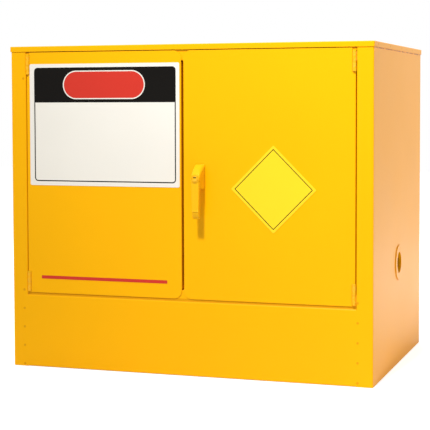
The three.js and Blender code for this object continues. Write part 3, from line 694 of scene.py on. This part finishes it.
# %% [markdown]
# ## The lever handle
# The handle is cast: a hub that slopes away at the top, and a lever that hangs from it
# and curls back at the foot. The hub is joined from sections that lie one before the
# other. Each says how far out it is, as a share of the handle's reach, then its top, its
# foot and the rounding of its upper left and right corners in millimetres. The lever is
# an outline seen from the side, which is given a width and rounded edges, and is made a
# little narrower towards its foot. A voxel remesh then melts hub, lever and lock housing
# into one skin, and a Smooth modifier gives the soft inner corners that a casting has.

# %% Shapes of the hub and the lever
hub_sections = [
    (0.06, 33, -24.7, 2, 2), (0.14, 32.6, -24.7, 2, 6), (0.3, 31.5, -24.7, 2, 11),
    (0.62, 22, -24.7, 2.5, 9), (0.8, 14.5, -22, 3, 6), (0.9, 10, -13, 3, 4),
]
lever_outline = [
    (0.62, 0.06), (0.94, 0.06), (1, 0.02), (1, -0.76), (0.97, -0.86), (0.9, -0.94), (0.78, -1),
    (0.66, -0.97), (0.72, -0.9), (0.76, -0.82), (0.77, -0.72), (0.74, -0.3), (0.68, -0.2),
    (0.62, -0.12),
]
handle_reach, half_hub, hub_foot_turn = 45 * mm, 10.5 * mm, 2 * mm
lever_drop, lever_width, lever_rounding = 96 * mm, 17.5 * mm, 1.3 * mm
widest, taper = 1.08, 0.17


def cast_shape(outline, rise, width, rounding):
    rings = []
    for x in (handle_x - width / 2, handle_x + width / 2):
        rings.append([(x, front - out * handle_reach, handle_z + up * rise) for out, up in outline])
    bm = lofted(rings)
    bmesh.ops.bevel(
        bm, geom=list(bm.edges), offset=rounding, segments=3, profile=0.6, affect="EDGES",
        clamp_overlap=True)
    return bm


hub_rings = []
for out, top, bottom, left_turn, right_turn in hub_sections:
    turns = [hub_foot_turn, hub_foot_turn, right_turn * mm, left_turn * mm]
    arch = corner_outline((-half_hub, bottom * mm), (half_hub, top * mm), turns)
    hub_rings.append([(handle_x + x, front - out * handle_reach, handle_z + z) for x, z in arch])
hub = lofted(hub_rings)
lever = cast_shape(lever_outline, lever_drop, lever_width, lever_rounding)
for vert in lever.verts:
    narrowing = widest - taper * (handle_z - vert.co.z) / lever_drop
    vert.co.x = handle_x + (vert.co.x - handle_x) * narrowing
lever_widths = [round(lever_width * share / mm, 1) for share in (widest, widest - taper)]
print("lever width in mm, top and foot:", lever_widths)


# %% Melt them together and bore the lock
def merged(*meshes):
    whole = bmesh.new()
    for bm in meshes:
        mesh = bpy.data.meshes.new("part")
        bm.to_mesh(mesh)
        bm.free()
        whole.from_mesh(mesh)
        bpy.data.meshes.remove(mesh)
    return whole


lock_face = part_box("handle_lever")[0].y
lip_y, lip_z, lip_half, lip_radius = lock_face + 1.7 * mm, 403 * mm, 7.2 * mm, 1.5 * mm
housing = rod_mesh(
    10.4 * mm, (handle_x, lock_face, handle_z), (handle_x, lock_face + 15 * mm, handle_z), 48)
pull_lip = rod_mesh(
    lip_radius, (handle_x - lip_half, lip_y, lip_z), (handle_x + lip_half, lip_y, lip_z), 24)
handle = new_object("swing_handle", merged(hub, lever, housing, pull_lip))
melt = handle.modifiers.new("melt", "REMESH")
melt.mode = "VOXEL"
melt.voxel_size = 0.6 * mm
melt.use_smooth_shade = True
soften = handle.modifiers.new("soften", "SMOOTH")
soften.factor = 0.5
soften.iterations = 5
settled(handle)
bore_start, bore_end = lock_face - 5 * mm, lock_face + 22 * mm
cut(handle, [rod_mesh(
    8.3 * mm, (handle_x, bore_start, handle_z), (handle_x, bore_end, handle_z), 64)])
softly_shaded(handle, 55)
on_body(handle, "handle", handle_coat, ["handle_lever"])
print("handle faces:", len(handle.data.polygons))

# %% [markdown]
# ## The lock
# The lock's barrel is turned, so its profile is spun round its own axis: a rounded rim,
# a fine groove, and a flat face. Its face was painted with the handle. The keyway is cut
# across the face above the middle. A real keyway has a small dark shutter just inside,
# which keeps dust out. Its black is also painted shade for the depth of the keyway.

# %% Spin the lock and cut its keyway
def spun(profile, middle, axis, sides=64):
    turn_to = Vector(axis).to_track_quat("Z", "Y").to_matrix().to_4x4()
    angles = [2 * pi * i / sides for i in range(sides)]
    rings = []
    bm = bmesh.new()
    for radius, height in profile:
        if radius == 0:
            rings.append([bm.verts.new((0, 0, height))])
        else:
            rings.append([bm.verts.new((radius * cos(a), radius * sin(a), height)) for a in angles])
    for ring, following in zip(rings, rings[1:]):
        for i in range(sides):
            corners = [ring[i % len(ring)], ring[(i + 1) % len(ring)],
                       following[(i + 1) % len(following)], following[i % len(following)]]
            bm.faces.new(list(dict.fromkeys(corners)))
    bmesh.ops.transform(bm, matrix=Matrix.Translation(middle) @ turn_to, verts=bm.verts)
    bmesh.ops.recalc_face_normals(bm, faces=bm.faces)
    return bm


low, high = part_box("lock_cylinder")
lock_depth = high.y - low.y
lock_profile = [
    (0, -lock_depth), (8 * mm, -lock_depth), (8 * mm, -1.2 * mm), (7.6 * mm, -0.4 * mm),
    (6.9 * mm, 0), (6.4 * mm, 0), (6.2 * mm, -0.5 * mm), (5.9 * mm, -0.5 * mm), (5.7 * mm, 0),
    (0, 0),
]
lock = new_object("lock_barrel", spun(lock_profile, (handle_x, low.y, handle_z), (0, -1, 0)))
keyway_z, keyway_half, keyway_width = handle_z + 3 * mm, 1.2 * mm, 7.5 * mm
cut(lock, [box_mesh(
    (handle_x - keyway_width / 2, low.y - 3 * mm, keyway_z - keyway_half),
    (handle_x + keyway_width / 2, low.y + 4 * mm, keyway_z + keyway_half))])
softly_shaded(lock, 30)
on_body(lock, "lock", handle_coat, ["lock_cylinder"])
print("lock face stands proud of the housing by mm:", round((lock_face - low.y) / mm, 2))

# %% The shutter in the keyway, whose black is also painted shade
half_x, half_z, shutter_rounding = 3.7 * mm, 1.15 * mm, 0.15 * mm
shutter_corners = [(-half_x, -half_z), (half_x, -half_z), (half_x, half_z), (-half_x, half_z)]
shutter = lofted([
    [(handle_x + x, y, keyway_z + z) for x, z in shutter_corners]
    for y in (low.y + 0.9 * mm, low.y + 1.6 * mm)])
bmesh.ops.bevel(
    shutter, geom=list(shutter.edges), offset=shutter_rounding, segments=2, affect="EDGES")
shutter = softly_shaded(new_object("keyway_shutter", shutter))
on_body(shutter, "lock", black_plastic)

# %% [markdown]
# ## Vents
# Each side has one vent: a collar with a wide flange, and a bung that closes it. Both
# are turned shapes, so their profiles are spun, the collar with a soft rounded rim. The
# bung has a hexagonal grip, which is the same spin with only six sides.

# %% Collars and bungs
bore, rim, skirt = 26 * mm, 44.5 * mm, 28.5 * mm
plug, thickness, recess = 25.7 * mm, 14 * mm, 8 * mm
for name, sign in (("right", 1), ("left", -1)):
    low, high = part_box(f"{name}_vent_collar")
    outward = (sign, 0, 0)
    face_x = high.x if sign > 0 else low.x
    middle = Vector((face_x, (low.y + high.y) / 2, (low.z + high.z) / 2))
    reach = high.x - low.x
    collar_profile = [
        (bore, -reach), (skirt, -reach), (skirt, -2 * mm), (rim, -2 * mm), (rim, -1.1 * mm),
        (rim - 0.3 * mm, -0.5 * mm), (rim - 0.8 * mm, -0.1 * mm), (rim - 1.4 * mm, 0),
        (bore + 1.2 * mm, 0), (bore + 0.4 * mm, -0.3 * mm), (bore, -1 * mm), (bore, -reach),
    ]
    collar = spun(collar_profile, middle, outward)
    bmesh.ops.remove_doubles(collar, verts=collar.verts, dist=tiny)
    bmesh.ops.recalc_face_normals(collar, faces=collar.faces)
    collar = softly_shaded(new_object(f"{name}_vent_rim", collar))
    on_body(collar, "carcass", powder_coat, [f"{name}_vent_collar"])
    bung_low, bung_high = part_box(f"{name}_vent_bung")
    plug_profile = [
        (0, -recess - thickness), (plug - 1 * mm, -recess - thickness),
        (plug, -recess - thickness + 1 * mm), (plug, -recess - 0.8 * mm),
        (plug - 0.8 * mm, -recess), (0, -recess),
    ]
    grip_profile = [
        (0, -recess - 5 * mm), (12 * mm, -recess - 5 * mm), (12 * mm, -2.7 * mm),
        (11.3 * mm, -2 * mm), (0, -2 * mm),
    ]
    plug_mesh = merged(spun(plug_profile, middle, outward), spun(grip_profile, middle, outward, 6))
    # The bung's dark paint is painted shade for the recess of the vent.
    bung = softly_shaded(new_object(f"{name}_bung", plug_mesh), 35)
    on_body(bung, f"{name}_bung", bung_shade_coat, [f"{name}_vent_bung"])
    print(name, "collar's middle in mm:", [round(v / mm, 1) for v in middle])
    print(name, "bung's box, x in mm:", round(bung_low.x / mm, 1), round(bung_high.x / mm, 1))

# %% [markdown]
# ## Flame arrestors with Geometry Nodes
# Behind each bung sits a disc of brass gauze, which lets air through but stops a flame.
# Gauze is one wire laid many times, so a node tree makes it: a row of points carries a
# straight wire, and each wire is scaled to the chord of the circle at its place. The row
# is laid twice, crosswise, and a ring binds the edge.

# %% Helpers for geometry trees
def node_after(tree, kind, *wires, **settings):
    node = tree.nodes.new(kind)
    for name, value in settings.items():
        setattr(node, name, value)
    for socket, value in wires:
        feed(tree, node.inputs[socket], value)
    return node


def joined(tree, *parts):
    node = tree.nodes.new("GeometryNodeJoinGeometry")
    for part in parts:
        tree.links.new(part, node.inputs[0])
    return node.outputs[0]


def hand_out(tree, geometry, material, out):
    real = node_after(tree, "GeometryNodeRealizeInstances", (0, geometry))
    coated = node_after(
        tree, "GeometryNodeSetMaterial", ("Geometry", real.outputs[0]), ("Material", material))
    tree.links.new(coated.outputs[0], out)


# %% One row of wires, each as long as its chord
def row_of_wires(tree, ins, height):
    radius, spacing = ins["Radius"], ins["Spacing"]
    gaps = maths(tree, "DIVIDE", product(tree, radius, 1.96), spacing)
    step = node_after(tree, "ShaderNodeCombineXYZ", ("X", spacing))
    begin = node_after(
        tree, "ShaderNodeCombineXYZ", ("X", product(tree, radius, -0.98)), ("Z", height))
    row = node_after(
        tree, "GeometryNodeMeshLine", ("Count", maths(tree, "ADD", gaps, 1)),
        ("Start Location", begin.outputs[0]), ("Offset", step.outputs[0]))
    wire = node_after(
        tree, "GeometryNodeCurvePrimitiveLine", ("Start", (0, -1, 0)), ("End", (0, 1, 0)))
    place = tree.nodes.new("GeometryNodeInputPosition").outputs[0]
    across = maths(
        tree, "ABSOLUTE", node_after(tree, "ShaderNodeSeparateXYZ", (0, place)).outputs[0])
    squares = [maths(tree, "POWER", length, 2.0) for length in (radius, across)]
    rest = maths(tree, "MAXIMUM", maths(tree, "SUBTRACT", *squares), 0.0)
    scale = node_after(
        tree, "ShaderNodeCombineXYZ", ("X", 1.0), ("Y", maths(tree, "SQRT", rest)), ("Z", 1.0))
    laid = node_after(
        tree, "GeometryNodeInstanceOnPoints", ("Points", row.outputs[0]),
        ("Instance", wire.outputs[0]), ("Scale", scale.outputs[0]))
    return node_after(tree, "GeometryNodeRealizeInstances", (0, laid.outputs[0])).outputs[0]


# %% Node tree for a disc of gauze
gauze_tree, ins, outs = new_group(
    "gauze_disc", "GeometryNodeTree",
    [("Radius", "NodeSocketFloat", 25.7 * mm), ("Spacing", "NodeSocketFloat", 2.2 * mm),
     ("Wire", "NodeSocketFloat", 0.35 * mm), ("Ring", "NodeSocketFloat", 1.3 * mm),
     ("Place", "NodeSocketVector", (0, 0, 0)), ("Metal", "NodeSocketMaterial", None)],
    [("Geometry", "NodeSocketGeometry")],
)


def circle(radius, points):
    return node_after(
        gauze_tree, "GeometryNodeCurvePrimitiveCircle", ("Resolution", points),
        ("Radius", radius)).outputs[0]


def swept(path, profile):
    return node_after(
        gauze_tree, "GeometryNodeCurveToMesh", ("Curve", path),
        ("Profile Curve", profile)).outputs[0]


warp = row_of_wires(gauze_tree, ins, ins["Wire"])
weft = row_of_wires(gauze_tree, ins, product(gauze_tree, ins["Wire"], -1.0))
crossed = node_after(
    gauze_tree, "GeometryNodeTransform", ("Geometry", weft), ("Rotation", (0, 0, pi / 2)))
woven = swept(joined(gauze_tree, warp, crossed.outputs[0]), circle(ins["Wire"], 6))
ring_radius = maths(gauze_tree, "SUBTRACT", ins["Radius"], ins["Ring"])
ring = swept(circle(ring_radius, 64), circle(ins["Ring"], 12))
stood = node_after(
    gauze_tree, "GeometryNodeTransform", ("Geometry", joined(gauze_tree, woven, ring)),
    ("Translation", ins["Place"]), ("Rotation", (0, pi / 2, 0)))
hand_out(gauze_tree, stood.outputs[0], ins["Metal"], outs["Geometry"])


# %% Place the two discs
def grown(name, tree, values):
    thing = new_object(name, bmesh.new())
    modifier = thing.modifiers.new("grow", "NODES")
    modifier.node_group = tree
    for item in tree.interface.items_tree:
        if item.item_type == "SOCKET" and item.in_out == "INPUT" and item.name in values:
            modifier[item.identifier] = values[item.name]
    return settled(thing)


for name in ("right", "left"):
    low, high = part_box(f"{name}_flame_arrestor")
    place = {"Place": (low + high) / 2, "Metal": brass_gauze}
    gauze = softly_shaded(grown(f"{name}_gauze", gauze_tree, place), 60)
    on_body(gauze, "carcass", None, [f"{name}_flame_arrestor"])
    print(name, "gauze faces:", len(gauze.data.polygons))

# %% [markdown]
# ## Spot welds
# The lid's flanges and the front stiles are spot-welded, and each weld leaves a shallow
# round mark that the paint softens. The marks repeat at an even pitch, so one node tree
# lays a low dome on each point of a line. Its inputs are the first point, the step, the
# number of marks and the way that the sheet faces.

# %% Node tree for a row of spot welds
weld_tree, ins, outs = new_group(
    "row_of_spot_welds", "GeometryNodeTree",
    [("First", "NodeSocketVector", (0, 0, 0)), ("Step", "NodeSocketVector", (0, 0, 1)),
     ("Count", "NodeSocketInt", 5), ("Facing", "NodeSocketVector", (0, -1, 0)),
     ("Radius", "NodeSocketFloat", 3.2 * mm), ("Height", "NodeSocketFloat", 0.3 * mm),
     ("Paint", "NodeSocketMaterial", None)],
    [("Geometry", "NodeSocketGeometry")],
)
line = node_after(
    weld_tree, "GeometryNodeMeshLine", ("Count", ins["Count"]),
    ("Start Location", ins["First"]), ("Offset", ins["Step"]))
dome = node_after(
    weld_tree, "GeometryNodeMeshCone", ("Vertices", 20), ("Radius Bottom", ins["Radius"]),
    ("Radius Top", product(weld_tree, ins["Radius"], 0.55)), ("Depth", ins["Height"]))
aim = node_after(
    weld_tree, "FunctionNodeAlignRotationToVector", ("Vector", ins["Facing"]), axis="Z")
marks = node_after(
    weld_tree, "GeometryNodeInstanceOnPoints", ("Points", line.outputs[0]),
    ("Instance", dome.outputs[0]), ("Rotation", aim.outputs[0]))
hand_out(weld_tree, marks.outputs[0], ins["Paint"], outs["Geometry"])

# %% Rows on the lid and the stiles
# Each mark's darker paint is painted shade of its dimple.
lid_low, lid_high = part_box("top_cover")
lid_weld_y, lid_weld_z, lid_step = -276 * mm, 793.5 * mm, (0, 150 * mm, 0)
stile_step, to_the_front = (0, 0, 46.7 * mm), (0, -1, 0)
weld_rows = {
    "right_lid": ((lid_high.x, lid_weld_y, lid_weld_z), lid_step, 4, (1, 0, 0)),
    "left_lid": ((lid_low.x, lid_weld_y, lid_weld_z), lid_step, 4, (-1, 0, 0)),
    "right_stile": ((421.9 * mm, front, 9 * mm), stile_step, 5, to_the_front),
    "left_stile": ((-427.5 * mm, front, 6 * mm), stile_step, 5, to_the_front),
    "left_stile_top": ((-425 * mm, front, 721 * mm), stile_step, 1, to_the_front),
}
for name, (first, step, count, facing) in weld_rows.items():
    row = grown(f"{name}_welds", weld_tree, {
        "First": first, "Step": step, "Count": count, "Facing": facing, "Paint": weld_shade_coat})
    on_body(softly_shaded(row, 60), "carcass", None)
print("rows of spot welds:", len(weld_rows))

# %% [markdown]
# ## Plates on the doors
# The left door carries a white plate with a thin dark line round it and a dark band at
# the head, with a plain red bar in the band. The right door carries a lemon plate, set
# on its corner. Each is one thin sheet. Its face is divided along the printed edges, and
# each region has its own material, so the edges stay sharp at any distance.

# %% Printed finishes
sign_white = painted("sign_white", (0.85, 0.82, 0.74), 0.35, amount=0.02, ripple=0.3, dust=0.0)
sign_black = painted(
    "sign_black", (0.007, 0.006, 0.005), 0.4, amount=0.1, ripple=0.3, dust=0.0, sheen=0.06)
sign_red = painted(
    "sign_red", (0.62, 0.035, 0.020), 0.35, amount=0.04, ripple=0.3, dust=0.0, sheen=0.2)
sign_lemon = painted(
    "sign_lemon", (0.93, 0.66, 0.016), 0.35, amount=0.02, ripple=0.3, dust=0.0, sheen=0.2)


# %% Helpers for nested outlines
def plate_ring(bm, outline, depth):
    return [bm.verts.new((x, depth, z)) for x, z in outline]


def band_between(bm, outer, inner, material_index):
    for index in range(len(outer)):
        after = (index + 1) % len(outer)
        face = bm.faces.new((outer[index], outer[after], inner[after], inner[index]))
        face.material_index = material_index


def finished_plate(name, body, bm, colours):
    bmesh.ops.recalc_face_normals(bm, faces=bm.faces)
    thing = new_object(name, bm)
    for material in colours:
        thing.data.materials.append(material)
    on_body(softly_shaded(thing, 20), body)
    print(name, "regions:", len(thing.data.polygons))


# %% The white plate
plate_gap, plate_thickness = 0.1 * mm, 0.8 * mm


def plate(name, body, outlines, colours, split=None):
    bm = bmesh.new()
    face_y = front - plate_gap - plate_thickness
    back = plate_ring(bm, outlines[0], front - plate_gap)
    rings = [plate_ring(bm, outline, face_y) for outline in outlines]
    bm.faces.new(back)
    band_between(bm, back, rings[0], 0)
    for index, (outer, inner) in enumerate(zip(rings, rings[1:])):
        band_between(bm, outer, inner, index % 2)
    inside = rings[-1]
    if split is None:
        bm.faces.new(inside).material_index = 0
    else:
        upper = [vert for vert in inside if vert.co.z > split]
        lower = [vert for vert in inside if vert.co.z <= split]
        right = bm.verts.new((upper[0].co.x, face_y, split))
        left = bm.verts.new((upper[-1].co.x, face_y, split))
        bm.faces.new([right, *upper, left]).material_index = 1
        bm.faces.new([left, *lower, right]).material_index = 0
    finished_plate(name, body, bm, colours)


white_corners = Vector((-407, 456)) * mm, Vector((-13, 756)) * mm
line_corners = Vector((-395, 466)) * mm, Vector((-22, 747)) * mm
line_width, band_foot = 2.8 * mm, 661 * mm
nested = [
    corner_outline(*white_corners, [4 * mm] * 4),
    corner_outline(*line_corners, [9 * mm] * 4),
    corner_outline(*line_corners, [9 * mm] * 4, line_width),
]
plate("white_plate", "left_door", nested, [sign_white, sign_black], band_foot)


# %% The red bar and the red strip
def stadium(low, high, inset=0.0):
    radius = (high[1] - low[1]) / 2 - 0.01 * mm
    return corner_outline(low, high, [radius] * 4, inset, 12)


def thin_strip(name, body, outlines, colours, rise):
    bm = bmesh.new()
    base = plate_ring(bm, outlines[0], front - rise + 0.3 * mm)
    rings = [plate_ring(bm, outline, front - rise) for outline in outlines]
    bm.faces.new(base)
    for outer, inner in zip([base, *rings], rings):
        band_between(bm, outer, inner, 0)
    bm.faces.new(rings[-1]).material_index = len(colours) - 1
    finished_plate(name, body, bm, colours)


bar_corners = Vector((-317, 669)) * mm, Vector((-101, 739)) * mm
bar_outlines = [stadium(*bar_corners), stadium(*bar_corners, 2.6 * mm)]
bar_rise = plate_thickness + 0.35 * mm
thin_strip("red_bar", "left_door", bar_outlines, [sign_white, sign_red], bar_rise)
strip_corners = Vector((-379, 222.5)) * mm, Vector((-46, 230.5)) * mm
strip_outline = corner_outline(*strip_corners, [1 * mm] * 4)
thin_strip("red_strip", "left_door", [strip_outline], [sign_red], 0.4 * mm)

# %% The lemon plate
diamond_middle = Vector((220.1, 455.3)) * mm


def diamond(half, rounding):
    half_side = half * sqrt(2) / 2
    points = corner_outline((-half_side, -half_side), (half_side, half_side), [rounding] * 4)
    quarter = Matrix.Rotation(radians(45), 2)
    return [tuple(diamond_middle + quarter @ Vector(point)) for point in points]


nested = [diamond(104 * mm, 2 * mm), diamond(95.5 * mm, 1.5 * mm), diamond(93.0 * mm, 1.2 * mm)]
plate("lemon_plate", "right_door", nested, [sign_lemon, sign_black])

# %% [markdown]
# ## Stage: floor and world
# The picture has a plain white ground. The floor is pale and keeps the cabinet's shadow.
# For rays that come from the camera, or that glass sends on, part of its brightness is
# its own, so it meets the white world without a line. Glossy paint mirrors the floor
# too, and there the glow fades towards the cabinet, as it does on a floor in shade. The
# world is white to those same rays and a soft grey to all others, so it fills the
# shadows without washing out the paint.

# %% Floor and world
floor_glow, shaded_glow = 0.62, 0.1
shade_starts, shade_ends = 0.5, 2.4
floor_bm = bmesh.new()
bmesh.ops.create_grid(
    floor_bm, x_segments=1, y_segments=1, size=9.0, matrix=Matrix.Translation((0, 0, -0.6 * mm)))
floor = new_object("studio_floor", floor_bm)
floor_material, tree, shader = bare_material("studio_floor")
grain = ramped(tree, cloudy(tree, 30.0, 4.0), 0.3, 0.7, 0.77, 0.8)
tree.links.new(grey_of(tree, grain), shader["Base Color"])
shader["Roughness"].default_value = 0.9
shader["Emission Color"].default_value = (1, 1, 1, 1)
far = node_after(tree, "ShaderNodeVectorMath", (0, object_place(tree)), operation="LENGTH")
fading = ramped(tree, far.outputs["Value"], shade_starts, shade_ends, shaded_glow, floor_glow)
ray = tree.nodes.new("ShaderNodeLightPath").outputs
straight = maths(tree, "MAXIMUM", ray["Is Camera Ray"], ray["Is Transmission Ray"])
glow = maths(
    tree, "MAXIMUM", product(tree, straight, floor_glow),
    product(tree, ray["Is Glossy Ray"], fading))
tree.links.new(glow, shader["Emission Strength"])
floor.data.materials.append(floor_material)

world = bpy.data.worlds.new("studio_world")
world.use_nodes = True
tree = world.node_tree
background = tree.nodes["Background"].inputs
ray = tree.nodes.new("ShaderNodeLightPath").outputs
white_rays = maths(tree, "MAXIMUM", ray["Is Camera Ray"], ray["Is Glossy Ray"])
white_rays = maths(tree, "MAXIMUM", white_rays, ray["Is Transmission Ray"])
fill = blended(tree, white_rays, (0.5, 0.5, 0.5, 1), (1, 1, 1, 1))
tree.links.new(fill, background["Color"])
background["Strength"].default_value = 1.0
bpy.context.scene.world = world
bpy.context.scene.view_settings.view_transform = "Standard"

# %% [markdown]
# ## Lamps
# One spot lamp stands high in front of the cabinet. It gives the handle its long shadow,
# and its soft edge lets the doors darken a little towards the left and the foot. Three
# weak panels light the sides and the back. The flat lid would mirror the left and the
# back panel as a white patch, so glossy rays don't see these two.

# %% Place the lamps
def placed_lamp(name, kind, place, target, power):
    data = bpy.data.lights.new(name, kind)
    data.energy = power
    lamp = bpy.data.objects.new(name, data)
    lamp.location = place
    lamp.rotation_euler = (Vector(target) - Vector(place)).to_track_quat("-Z", "Y").to_euler()
    bpy.context.scene.collection.objects.link(lamp)
    return lamp


key_place, key_target, key_power = (0.08, -3.1, 4.2), (0.98, -0.318, 2.35), 1425
key = placed_lamp("key_lamp", "SPOT", key_place, key_target, key_power).data
key.spot_size = radians(77)
key.spot_blend = 1.0
key.shadow_soft_size = 0.22
panel_width = 1.2
panels = {
    "right_panel": ((2.1, 1.0, 1.6), (0.458, 0.1, 0.6), 11, True),
    "left_panel": ((-2.4, 0.4, 1.0), (-0.4, 0, 0.45), 28, False),
    "back_panel_light": ((-0.4, 2.6, 1.0), (0, 0.3, 0.45), 28, False),
}
for name, (place, target, power, mirrored) in panels.items():
    lamp = placed_lamp(name, "AREA", place, target, power)
    lamp.data.shape = "RECTANGLE"
    lamp.data.size = lamp.data.size_y = panel_width
    lamp.visible_glossy = mirrored
